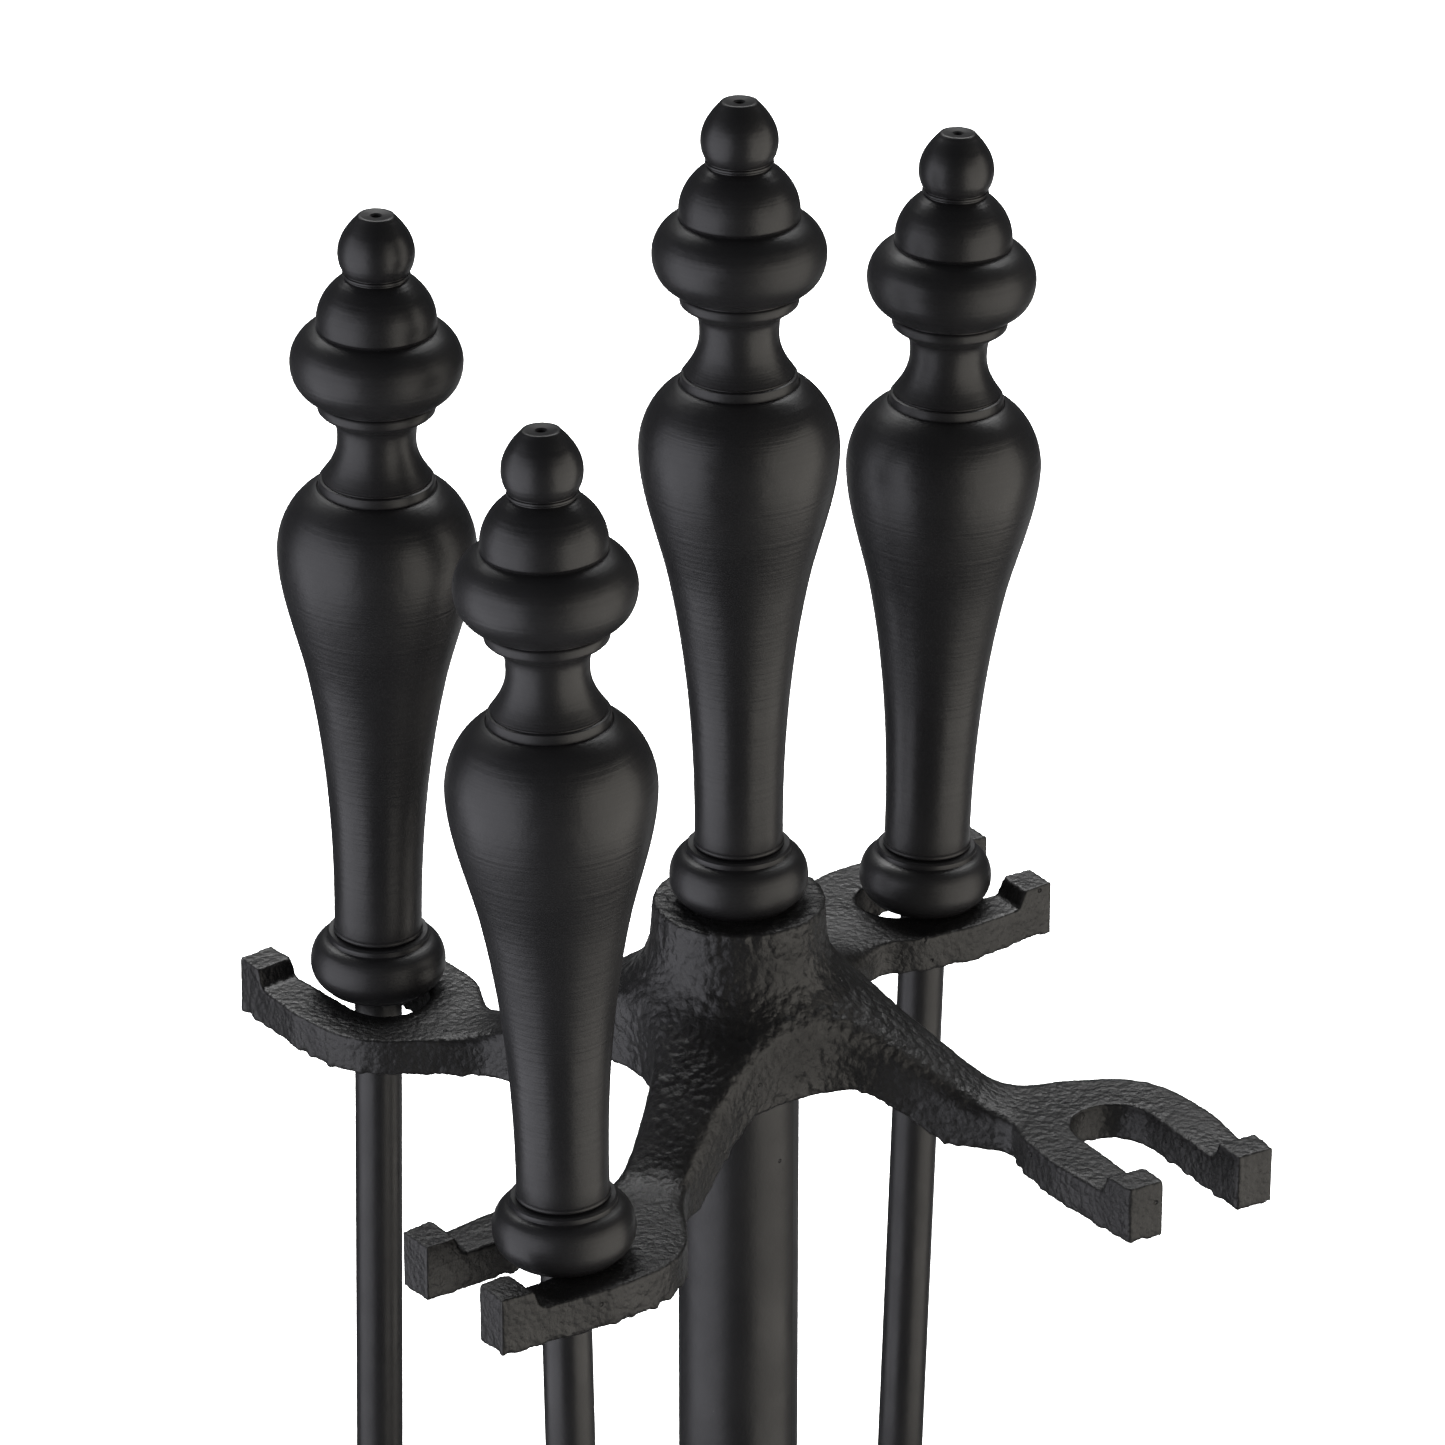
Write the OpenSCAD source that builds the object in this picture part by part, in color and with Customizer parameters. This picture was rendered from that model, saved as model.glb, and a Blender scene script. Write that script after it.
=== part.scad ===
// Fireplace tool set: a round post on a heavy base carries a cast yoke with four forks.
// A poker, a shovel and a brush hang in three forks by the bead collars under their turned
// handles. The fourth fork, on +X, is free. Origin: centre of the base, on the floor. +Z is up.

/* [Stand] */
// Height of the fork seats above the floor
fork_z = 566; // [500:1:700]
// Outer diameter of the post
post_d = 25; // [22:0.5:28]
// Wall thickness of the post tube
post_wall = 1.5; // [1:0.1:3]
// Diameter of the round base
base_d = 250; // [240:1:320]
// Height of the base at its centre
base_h = 30; // [24:1:40]

/* [Yoke] */
// Distance from the post's axis to each tool's axis
seat_r = 86; // [84:0.5:89]
// Angle by which each fork is swept back from the radial direction
fork_sweep = 28; // [24:1:32]
// Width of a fork's slot
slot_w = 17.6; // [17.2:0.1:18]
// Thickness of the forks
fork_t = 8.2; // [7.4:0.1:10]
// Height of the hub's top above the fork seats
hub_rise = 38.5; // [37:0.5:42]
// Radius of the hub just under its top
hub_r = 17.8; // [17:0.1:20]
// Width of an arm at its narrowest
neck_w = 15; // [13:0.5:18]

/* [Tools] */
// Diameter of the tool shafts
shaft_d = 10; // [9:0.5:12]
// Length of a turned handle
handle_h = 162; // [155:1:170]
// Height of the bead collar under a handle
collar_h = 12.5; // [12:0.5:14]
// Height of the lowest point of the tools above the floor
tool_clear = 52; // [45:1:80]

/* [Working ends] */
// Length of the poker's cast head
poker_head_h = 96; // [80:1:120]
// Width of the shovel's pan
pan_w = 112; // [90:1:120]
// Length of the shovel's pan
pan_h = 142; // [120:1:160]
// Depth of the pan at its back
pan_depth = 26; // [20:1:30]
// Sheet thickness of the pan
pan_t = 2; // [1.5:0.1:3]
// Diameter of the brush's bristle bundle at its tip
bristle_d = 64; // [50:1:70]
// Length of the bristles that show
bristle_h = 82; // [60:1:100]

/* [Hidden] */

$fn = 96;
black = [0.06, 0.06, 0.065];
cast_black = [0.09, 0.09, 0.095];
steel = [0.55, 0.55, 0.57];
rubber = [0.16, 0.16, 0.16];
bristle_black = [0.12, 0.11, 0.10];

fit = 0.05;               // radial clearance of a stud in its bore
eps = 0.01;               // overshoot of a cutter past the face that it cuts
hub_top = fork_z + hub_rise;
post_r = post_d / 2;

// Tie rod, M8, from the nut under the base up into the finial handle
rod_r = 4;
rod_bore_r = rod_r + fit;
stud_depth = 25;          // how far a stud goes up into its handle
yoke_socket = 8;          // how deep the post's top sits in the yoke

// Base
pad_t = 3;
pad_d = 16;
pad_ring_r = base_d / 2 - 12;
base_recess_r = base_d / 2 - 22;
base_recess = 4;
nut_pocket_r = 16;
nut_pocket_h = 12;
boss_r = 26;
ferrule_h = 16;

// Hanging tools: the seat's gap keeps a leaning collar clear of the fork.
// Each tool has the number of its arm, its lean in degrees, the place of its shaft in the
// slot (ahead of the seat, to its left), and the direction of the lean.
seat_gap = 0.75;
stud_r = 4;
POKER = [3, -0.95, -0.9, 2.6, 26];
SHOVEL = [2, 1.98, -1.2, -2.1, -33];
BRUSH = [1, 1.7, -1.9, -3.1, 41];

// ---- curves -------------------------------------------------------------------------
// Points of an arc about c, from angle a to angle b in n steps
function arc(c, r, a, b, n = 8) =
    [for (i = [0 : n]) let (t = a + (b - a) * i / n) c + r * [cos(t), sin(t)]];

// Points of a cubic curve with the ends p, s and the handles q, r
function curve(p, q, r, s, n = 8) =
    [for (i = [0 : n]) let (t = i / n, u = 1 - t)
        u * u * u * p + 3 * u * u * t * q + 3 * u * t * t * r + t * t * t * s];

// A point turned about the origin
function turned(p, a) = [p.x * cos(a) - p.y * sin(a), p.x * sin(a) + p.y * cos(a)];

// ---- turned handle ------------------------------------------------------------------
// Heights above the handle's lower end, for a handle of the length handle_len, and radii
handle_len = 162;
foot_r = 9.2;
belly_h = 88;
belly_r = 20.5;
shoulder_h = 102.2;
shoulder_r = 12.6;
ring_r = 11.9;
ring_top = 104.3;
neck_h = 112.8;
neck_r = 8.1;
lip_h = 117.4;
lip_r = 12.1;
bead_h = 130;
bead_r = 17.65;
dome_h = 137.6;
dome_r = 12.2;
ball_h = 153.6;
ball_r = 7.85;
ball_flat_r = 3.5;
centre_hole_r = 0.9;
centre_hole_h = 2;
finial_thin = 0.98;       // the finial is a little slimmer and shorter than the handles
finial_short = 0.987;

// Half outline of the turned handle, from its lower end to its flat top
handle_outline = concat(
    [[0, 0], [foot_r - 0.4, 0]],
    arc([foot_r - 0.4, 0.6], 0.6, -90, 60, 4),
    curve([foot_r, 1.4], [9, 26], [11.4, 45], [14.3, 59], 10),
    curve([14.3, 59], [16.1, 68.2], [belly_r - 0.1, 78.5], [belly_r, belly_h], 8),
    curve([belly_r, belly_h], [belly_r, 94], [17.4, 99.6], [shoulder_r, shoulder_h], 8),
    [[ring_r + 0.1, shoulder_h + 0.1], [ring_r, shoulder_h + 0.6], [ring_r, ring_top - 0.4]],
    [[ring_r - 0.3, ring_top]],
    curve([11.3, ring_top + 0.4], [10.2, 106.3], [neck_r, 109.2], [neck_r, neck_h], 8),
    curve([neck_r, neck_h], [neck_r, 115], [8.3, 116.6], [9, lip_h], 5),
    [[lip_r - 0.3, lip_h + 1], [lip_r, lip_h + 1.4], [lip_r, lip_h + 3.8]],
    [[lip_r - 0.4, lip_h + 4.2]],
    curve([lip_r - 0.2, lip_h + 4.5], [15.4, 122.9], [bead_r, 125.9], [bead_r, bead_h], 7),
    curve([bead_r, bead_h], [bead_r, 133.2], [15.4, 136.4], [dome_r + 0.2, dome_h - 0.2], 7),
    [[dome_r + 0.05, dome_h], [dome_r, dome_h + 0.5]],
    curve([dome_r, dome_h + 0.6], [12.5, 142.6], [9.9, 146.3], [6.5, 148.4], 8),
    [[6.9, 148.8], [6.9, 149.3]],
    curve([6.5, 149.6], [7.3, 150.4], [ball_r, 151.9], [ball_r, ball_h], 6),
    curve([ball_r, ball_h], [ball_r, 156.7], [6, 159.3], [ball_flat_r + 0.4, 161.5], 8),
    [[ball_flat_r, handle_len], [0, handle_len]]
);

// Handle with its lower end at z = 0 and a blind bore for the stud
module turned_handle(thin = 1, short = 1) {
    rise = short * handle_h / handle_len;
    difference() {
        rotate_extrude() polygon([for (p = handle_outline) [p.x * thin, p.y * rise]]);
        translate([0, 0, -eps]) cylinder(h = stud_depth + eps, r = stud_r + fit);
        translate([0, 0, handle_len * rise - centre_hole_h])
            cylinder(h = centre_hole_h + 1, r = centre_hole_r);
    }
}

// ---- bead collar --------------------------------------------------------------------
collar_r = 14.2;
collar_foot_r = 11.6;
collar_mid = 5.2;         // height of the bead's widest point
collar_outline = concat(
    [[0, 0], [collar_foot_r - 0.3, 0], [collar_foot_r, 0.3]],
    curve([collar_foot_r + 0.1, 0.5], [13, 1.3], [collar_r, 2.9], [collar_r, collar_mid], 7),
    curve([collar_r, collar_mid], [collar_r, 8.3], [12.8, 10.3], [11, 10.9], 7),
    [[10.7, 11.1], [10.7, collar_h - 0.4], [10.3, collar_h], [0, collar_h]]
);

module bead_collar() {
    difference() {
        rotate_extrude() polygon(collar_outline);
        translate([0, 0, -eps]) cylinder(h = collar_h + 2 * eps, r = stud_r + fit);
    }
}

// ---- yoke ---------------------------------------------------------------------------
// Arms 0 to 3 point to +X, +Y, -X and -Y. Each arm and fork of the casting is a little off.
// A list has one value for each arm.
arm_turn = [3.6, -1, 0.6, 0.4];
fork_bend = [9.1, 4.7, -3.4, 0.8];
seat_out = [0, 4, 0, 0];  // added to the seat's distance from the post
fall = 33;                // slope of the arms
flank_fillet = 16;
flank_top = 6;            // the hub's flank is straight down to this depth
foot_fillet = 20;
slot_r = slot_w / 2;
slot_back = 7;            // the slot's round end lies this far behind the seat
palm_back = 8.5;          // the fork's round back is centred this far behind the seat
palm_r = 19.4;
prong_out = 19.8;         // outer half width of the fork at the seat
prong_end = 17.2;         // outer half width of the fork at its tips
fork_reach = [24, 21.5, 21.5, 24];   // the prongs end this far ahead of the seat
tip_l = 9;
tip_h = 4;
tip_slope = 1.8;
neck_a = 6;               // an arm leaves the hub turned this far from its fork's seat
neck_rho = 53;
web_pull = [34, 34, 37, 34];   // how far the fillet after an arm reaches in towards the hub
web_t = 35.5;               // depth of the web under the hub's top
socket_r = post_r + fit;

// Height of the hub's flank over the radius, relative to the hub's top
flank_c = [hub_r + 0.2 + flank_fillet, -flank_top];
slope_start = flank_c + flank_fillet * [cos(270 - fall), sin(270 - fall)];
slope_drop = hub_rise + slope_start.y - foot_fillet * (1 - cos(fall));
slope_end = slope_start + [slope_drop / tan(fall), -slope_drop];
reach_all = seat_r + 45;
under_start = 29;
under_drop = fork_t + hub_rise - web_t;

yoke_section = concat(
    [[rod_bore_r, 0]],
    arc([hub_r - 0.8, -0.8], 0.8, 90, 0, 3),
    arc(flank_c, flank_fillet, 180, 270 - fall, 8),
    arc(slope_end + foot_fillet * [sin(fall), cos(fall)], foot_fillet, 270 - fall, 270, 6),
    [[reach_all, -hub_rise], [reach_all, -hub_rise - fork_t]],
    [[under_start + under_drop / tan(fall), -hub_rise - fork_t], [under_start, -web_t]],
    [[socket_r, -web_t], [socket_r, yoke_socket - web_t], [rod_bore_r, yoke_socket - web_t]]
);

// Ends of an arm's two edges at its neck, in the arm's own frame
neck_l = turned([neck_rho, neck_w / 2], neck_a);
neck_rt = turned([neck_rho, -neck_w / 2], neck_a);

// Point of arm k's round palm at angle a, in the arm's own frame
function flare(k, a) =
    on_fork(k, [-palm_back, 0]) + palm_r * [cos(a), sin(a)];

function on_arm(k, p) = turned(p, 90 * k + arm_turn[k]);

// Point p of fork k's frame (the seat at the origin, the prongs along +X) in the arm's own frame
function on_fork(k, p) = [seat_r + seat_out[k], 0] + turned(p, -fork_sweep - fork_bend[k]);

// Fork k's outline from its right flare round the prongs to its left flare
function fork_edge(k) = let (c = on_fork(k, [-palm_back, 0]), a = fork_sweep + fork_bend[k]) concat(
    arc(c, palm_r, 209, 270 - a, 3),
    [for (p = [[0, -prong_out], [fork_reach[k], -prong_end], [fork_reach[k], prong_end],
               [0, prong_out]]) on_fork(k, p)],
    arc(c, palm_r, 90 - a, 120, 6)
);

// Edge of the web from arm k's left flare round to the next arm's right flare
function web_edge(k) = let (j = (k + 1) % 4, left = flare(k, 120), right = flare(j, 209)) concat(
    curve(on_arm(k, left), on_arm(k, left - [5, 2.9]),
          on_arm(k, neck_l + [5, 1.2]), on_arm(k, neck_l), 5),
    curve(on_arm(k, neck_l), on_arm(k, neck_l - web_pull[k] * [1, 0.02]),
          on_arm(j, neck_rt - web_pull[k] * [1, 0.02]), on_arm(j, neck_rt), 12),
    curve(on_arm(j, neck_rt), on_arm(j, neck_rt + [3, 0]),
          on_arm(j, right + [-2.2, 3.8]), on_arm(j, right), 5)
);

module yoke_plan() {
    circle(r = hub_r + 1);
    polygon([for (k = [0 : 3], p = concat([for (q = fork_edge(k)) on_arm(k, q)], web_edge(k))) p]);
}

module at_fork(k) {
    rotate(90 * k + arm_turn[k]) translate(on_fork(k, [0, 0])) rotate(-fork_sweep - fork_bend[k])
        children();
}

module slot_cutter(h, reach) {
    translate([-slot_back, 0, 0]) cylinder(h = h, r = slot_r);
    translate([-slot_back, -slot_r, 0]) cube([slot_back + reach + 5, slot_w, h]);
}

// Side view of the raised tips that keep the collars from sliding out of the fork
module tip_block(reach) {
    rotate([90, 0, 0]) translate([0, 0, -palm_r - 2]) linear_extrude(2 * palm_r + 4) polygon([
        [reach - tip_l - tip_slope, -fork_t / 2],
        [reach - tip_l + tip_slope, tip_h],
        [reach + 1, tip_h],
        [reach + 1, -fork_t / 2]
    ]);
}

module yoke() {
    bottom = -hub_rise - fork_t;
    color(cast_black) translate([0, 0, hub_top]) difference() {
        union() {
            intersection() {
                rotate_extrude() polygon(yoke_section);
                translate([0, 0, bottom - 1]) linear_extrude(-bottom + 2) yoke_plan();
            }
            intersection() {
                for (k = [0 : 3]) at_fork(k) translate([0, 0, -hub_rise])
                    tip_block(fork_reach[k]);
                translate([0, 0, bottom - 1]) linear_extrude(-bottom + 2) yoke_plan();
            }
        }
        for (k = [0 : 3]) at_fork(k) translate([0, 0, bottom - 1]) slot_cutter(fork_t + 20, fork_reach[k]);
    }
}

// ---- stand --------------------------------------------------------------------------
base_outline = concat(
    [[0, pad_t + base_recess], [base_recess_r, pad_t + base_recess], [base_recess_r, pad_t]],
    [[base_d / 2 - 1.5, pad_t]],
    arc([base_d / 2 - 4.5, pad_t + 4.5], 4.5, -40, 90, 6),
    [[base_d / 2 - 14, pad_t + 9.4]],
    curve([base_d / 2 - 15, pad_t + 10.6], [base_d / 2 - 38, pad_t + 11], [52, pad_t + 13],
          [46, pad_t + 17], 8),
    arc([42, pad_t + 17], 3.2, 0, 90, 4),
    curve([37, pad_t + 20.6], [31, pad_t + 21], [boss_r + 1, base_h - 6], [boss_r, base_h - 2], 6),
    [[boss_r - 1.5, base_h], [0, base_h]]
);
post_seat = 10;           // how deep the post stands in the base
post_bottom = base_h - post_seat;
post_top = hub_top - web_t + yoke_socket;

module base_plate() {
    color(cast_black) difference() {
        rotate_extrude($fn = 160) polygon(base_outline);
        translate([0, 0, post_bottom]) cylinder(h = post_seat + 1, r = socket_r);
        cylinder(h = base_h + 1, r = rod_bore_r);
        translate([0, 0, -eps]) cylinder(h = nut_pocket_h + eps, r = nut_pocket_r);
        for (k = [0 : 3]) rotate(45 + 90 * k) translate([pad_ring_r, 0, 0])
            cylinder(h = pad_t + 1, r = pad_d / 2 + fit);
    }
}

// Each pad sits 1 mm deep in a round recess under the rim
module foot_pads() {
    color(rubber) for (k = [0 : 3]) rotate(45 + 90 * k) translate([pad_ring_r, 0, 0])
        cylinder(h = pad_t + 1, r = pad_d / 2);
}

module base_ferrule() {
    color(black) translate([0, 0, base_h]) rotate_extrude() polygon(concat(
        [[socket_r, 0], [19.5, 0]],
        arc([19.5, 2.2], 2.2, -90, 60, 5),
        curve([19.6, 4.6], [17, 6], [16.4, 9], [16, 11], 5),
        arc([15.2, 13.2], 2, -40, 80, 5),
        [[14.6, ferrule_h], [socket_r, ferrule_h]]
    ));
}

module post_tube() {
    color(black) translate([0, 0, post_bottom]) difference() {
        cylinder(h = post_top - post_bottom, r = post_r);
        translate([0, 0, -eps])
            cylinder(h = post_top - post_bottom + 2 * eps, r = post_r - post_wall);
    }
}

washer_t = 2;
nut_h = 6.5;
nut_z = nut_pocket_h - washer_t - nut_h;
rod_bottom = nut_z - 1;

module tie_rod() {
    color(steel) translate([0, 0, rod_bottom])
        cylinder(h = hub_top + collar_h + stud_depth - 1 - rod_bottom, r = rod_r);
}

module base_washer() {
    color(steel) translate([0, 0, nut_pocket_h - washer_t]) difference() {
        cylinder(h = washer_t, r = 12);
        translate([0, 0, -eps]) cylinder(h = washer_t + 2 * eps, r = rod_bore_r);
    }
}

module base_nut() {
    color(steel) translate([0, 0, nut_z]) difference() {
        cylinder(h = nut_h, r = 7.5, $fn = 6);
        translate([0, 0, -eps]) cylinder(h = nut_h + 2 * eps, r = rod_bore_r);
    }
}

module finial_collar() {
    color(black) translate([0, 0, hub_top]) bead_collar();
}

module finial_handle() {
    color(black) translate([0, 0, hub_top + collar_h]) turned_handle(finial_thin, finial_short);
}

// ---- hanging tools ------------------------------------------------------------------
// A tool's frame: the collar's lower face at the origin, the tool leaning
module at_tool(tool) {
    k = tool[0];
    place = on_arm(k, on_fork(k, [tool[2], tool[3]]));
    translate([place.x, place.y, fork_z + seat_gap])
        rotate([0, 0, tool[4]]) rotate([0, tool[1], 0]) rotate([0, 0, -tool[4]]) children();
}

// Shaft from its lower end up to the collar, with a stud at each end
module tool_shaft(bottom, tail) {
    translate([0, 0, bottom]) cylinder(h = -bottom, r = shaft_d / 2);
    translate([0, 0, -1]) cylinder(h = 1 + collar_h + stud_depth - 1, r = stud_r);
    translate([0, 0, bottom - tail]) cylinder(h = tail + 1, r = stud_r);
}

tool_z = fork_z + seat_gap;      // height of a tool's frame above the floor
end_z = tool_clear - tool_z;     // lowest point of the tools in their own frames
tail = 20;                       // length of the stud at a shaft's lower end

module tool_handle(tool) {
    color(black) at_tool(tool) translate([0, 0, collar_h]) turned_handle();
}

module tool_collar(tool) {
    color(black) at_tool(tool) bead_collar();
}

// Poker: a round socket runs down into a point, with a curved hook at its side
poker_top = end_z + poker_head_h;
hook_r = 17;
hook_wire = 4.2;
hook_z = 34;

module poker_handle() { tool_handle(POKER); }
module poker_collar() { tool_collar(POKER); }

module poker_shaft() {
    color(black) at_tool(POKER) tool_shaft(poker_top, tail);
}

module poker_head() {
    color(cast_black) at_tool(POKER) translate([0, 0, end_z]) {
        difference() {
            rotate_extrude() polygon(concat(
                [[0, 0]],
                arc([0, 2.2], 2.2, -60, 0, 3),
                curve([2.6, 5], [4.6, 20], [5.6, 30], [5.8, 44], 6),
                curve([5.8, 44], [6, 62], [8, 66], [8, poker_head_h - 12], 6),
                [[8.6, poker_head_h - 11], [8.6, poker_head_h - 6]],
                [[7.6, poker_head_h - 5], [7.2, poker_head_h], [0, poker_head_h]]
            ));
            translate([0, 0, poker_head_h - tail - 1]) cylinder(h = tail + 2, r = stud_r + fit);
        }
        translate([hook_r + 2, 0, hook_z]) rotate([90, 0, 0]) {
            rotate([0, 0, 180]) rotate_extrude(angle = 150)
                translate([hook_r, 0]) circle(r = hook_wire, $fn = 48);
            rotate([0, 0, -30]) translate([hook_r, 0, 0]) rotate([-90, 0, 0])
                cylinder(h = 12, r1 = hook_wire, r2 = 1.4, $fn = 48);
        }
    }
}

// Shovel: a tapered socket ends in a strap that is riveted to the back of the pan.
// The pan hangs with its open side outwards and its front edge down.
pan_r = 12;               // corner radius of the pan
pan_lip = 5;              // depth of the pan at its front edge
strap_t = 3;
strap_w = 22;
strap_h = 36;
socket_h = 42;
pan_top = end_z + pan_h;
socket_z = pan_top + 1;
rivet_drops = [10, 26];   // the rivets' distances below the pan's top
rivet_r = 2.5;
rivet_head_r = 4.6;
rivet_head_h = 2;

module shovel_handle() { tool_handle(SHOVEL); }
module shovel_collar() { tool_collar(SHOVEL); }

module shovel_shaft() {
    color(black) at_tool(SHOVEL) tool_shaft(socket_z + socket_h, tail);
}

module rivet_holes() {
    for (d = rivet_drops) translate([-10, 0, pan_top - d]) rotate([0, 90, 0])
        cylinder(h = 20, r = rivet_r + fit);
}

module shovel_socket() {
    color(black) at_tool(SHOVEL) difference() {
        union() {
            translate([0, 0, socket_z]) rotate_extrude() polygon(concat(
                [[0, 0], [9.2, 0]],
                arc([9.2, 1], 1, -90, 60, 3),
                curve([9.6, 4], [8.6, 14], [7.6, 24], [7.4, socket_h - 8], 6),
                [[8.4, socket_h - 7], [8.4, socket_h - 2], [7.4, socket_h], [0, socket_h]]
            ));
            translate([-strap_t / 2, -strap_w / 2, pan_top - strap_h + strap_w / 2])
                cube([strap_t, strap_w, strap_h - strap_w / 2]);
            translate([-strap_t / 2, 0, pan_top - strap_h + strap_w / 2])
                rotate([0, 90, 0]) cylinder(h = strap_t, r = strap_w / 2);
            translate([-strap_t / 2, -9, pan_top - 2]) cube([strap_t, 18, 6]);
        }
        translate([0, 0, socket_z + socket_h - tail - 1]) cylinder(h = tail + 2, r = stud_r + fit);
        rivet_holes();
    }
}

// Plan of the tray with rounded back corners, its walls moved in by t
module tray_plan(t) {
    union() {
        translate([-60, -pan_w / 2 + t]) square([60 - pan_r, pan_w - 2 * t]);
        translate([-60, -pan_w / 2 + pan_r]) square([60 - t, pan_w - 2 * pan_r]);
        for (y = [-1, 1]) translate([-pan_r, y * (pan_w / 2 - pan_r)]) circle(r = pan_r - t);
    }
}

module shovel_pan() {
    color(black) at_tool(SHOVEL) translate([-strap_t / 2, 0, end_z]) difference() {
        intersection() {
            linear_extrude(pan_h) tray_plan(0);
            rotate([90, 0, 0]) translate([0, 0, -pan_w / 2 - 1]) linear_extrude(pan_w + 2)
                polygon(concat(
                    [[0.01, 0], [-pan_lip, 0]],
                    curve([-pan_lip, 0], [-pan_lip - 3, pan_h * 0.35],
                          [-pan_depth, pan_h * 0.55], [-pan_depth, pan_h - 10], 8),
                    arc([-pan_depth + 10, pan_h - 10], 10, 180, 90, 4),
                    [[0.01, pan_h]]
                ));
        }
        translate([0, 0, -1]) linear_extrude(pan_h + 1 - pan_t) tray_plan(pan_t);
        translate([strap_t / 2, 0, -end_z]) rivet_holes();
    }
}

module shovel_rivets() {
    color(steel) at_tool(SHOVEL) for (d = rivet_drops)
        translate([strap_t / 2, 0, pan_top - d]) rotate([0, -90, 0]) rotate_extrude() polygon([
            [0, -rivet_head_h], [rivet_head_r * 0.6, -rivet_head_h * 0.8],
            [rivet_head_r * 0.92, -rivet_head_h * 0.35], [rivet_head_r, 0], [rivet_r, 0],
            [rivet_r, strap_t + pan_t], [rivet_head_r, strap_t + pan_t],
            [rivet_head_r * 0.92, strap_t + pan_t + rivet_head_h * 0.35],
            [rivet_head_r * 0.6, strap_t + pan_t + rivet_head_h * 0.8],
            [0, strap_t + pan_t + rivet_head_h]
        ]);
}

// Brush: a flared ferrule holds a round block, and the bristles spread below it
core_r = 19;
core_h = 34;
brush_ferrule_h = 40;
core_z = end_z + bristle_h;
brush_ferrule_z = core_z + core_h;

module brush_handle() { tool_handle(BRUSH); }
module brush_collar() { tool_collar(BRUSH); }

module brush_shaft() {
    color(black) at_tool(BRUSH)
        tool_shaft(brush_ferrule_z + brush_ferrule_h, tail);
}

module brush_ferrule() {
    color(black) at_tool(BRUSH) translate([0, 0, brush_ferrule_z]) difference() {
        rotate_extrude() polygon(concat(
            [[0, 0], [core_r - 2.4, 0]],
            arc([core_r - 2.4, 1.4], 1.4, -90, 70, 4),
            curve([15.8, 3.6], [10.5, 7], [8.2, 14], [7.6, brush_ferrule_h - 8], 7),
            [[8.6, brush_ferrule_h - 7], [8.6, brush_ferrule_h - 2]],
            [[7.6, brush_ferrule_h], [0, brush_ferrule_h]]
        ));
        translate([0, 0, brush_ferrule_h - tail - 1]) cylinder(h = tail + 2, r = stud_r + fit);
    }
}

module brush_core() {
    color(cast_black) at_tool(BRUSH) translate([0, 0, core_z])
        rotate_extrude() polygon(concat(
            [[0, 0], [core_r - 1, 0]],
            arc([core_r - 1, 1], 1, -90, 0, 3),
            arc([core_r - 1.5, core_h / 2], 1.2, -50, 50, 4),
            arc([core_r - 4, core_h - 4], 4, 0, 90, 5),
            [[0, core_h]]
        ));
}

module brush_bristles() {
    color(bristle_black) at_tool(BRUSH) translate([0, 0, end_z])
        rotate_extrude() polygon(concat(
            [[0, 0], [bristle_d / 2 - 3, 0]],
            arc([bristle_d / 2 - 3, 3], 3, -90, 0, 3),
            curve([bristle_d / 2, 6], [bristle_d / 2 - 1, bristle_h * 0.5],
                  [core_r + 1, bristle_h * 0.8], [core_r - 2, bristle_h], 8),
            [[0, bristle_h]]
        ));
}

base_plate();
foot_pads();
base_ferrule();
post_tube();
tie_rod();
base_washer();
base_nut();
yoke();
finial_collar();
finial_handle();
poker_handle();
poker_collar();
poker_shaft();
poker_head();
shovel_handle();
shovel_collar();
shovel_shaft();
shovel_socket();
shovel_pan();
shovel_rivets();
brush_handle();
brush_collar();
brush_shaft();
brush_ferrule();
brush_core();
brush_bristles();
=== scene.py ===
"""Looks for the fireplace tool set: a post with a cast yoke, and a poker, a shovel and a brush
that hang in its forks. Lengths are in metres in Blender; outlines are drawn in millimetres."""

import math
import random

import bmesh
import bpy
import numpy as np
from mathutils import Matrix, Vector, noise


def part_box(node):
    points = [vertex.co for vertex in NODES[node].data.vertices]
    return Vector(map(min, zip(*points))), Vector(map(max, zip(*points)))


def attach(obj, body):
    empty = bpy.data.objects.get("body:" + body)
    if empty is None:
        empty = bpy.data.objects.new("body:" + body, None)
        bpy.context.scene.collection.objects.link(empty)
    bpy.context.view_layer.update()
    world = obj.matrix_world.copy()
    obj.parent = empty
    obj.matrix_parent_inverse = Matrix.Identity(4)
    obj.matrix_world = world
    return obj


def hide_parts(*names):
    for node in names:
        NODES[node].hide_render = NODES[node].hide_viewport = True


MM = 0.001
SAME_POINT = 0.02  # outline points closer than this, in millimetres, are one point
LATHE_SIDES = 144
TOOLS = ("poker", "shovel", "brush")

# Photograph's view: directions in degrees, distances in metres, the lens and sensor in millimetres
VIEW_AZIMUTH = 25.5
VIEW_ELEVATION = 25.0
VIEW_DISTANCE = 1.501
VIEW_LENS = 185.7
VIEW_SENSOR = 36
VIEW_AIM_UP = 0.0267  # the view is centred this far above the finial handle's lower end
VIEW_AIM_RIGHT = -0.0033  # and this far to the right of the post's axis

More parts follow.
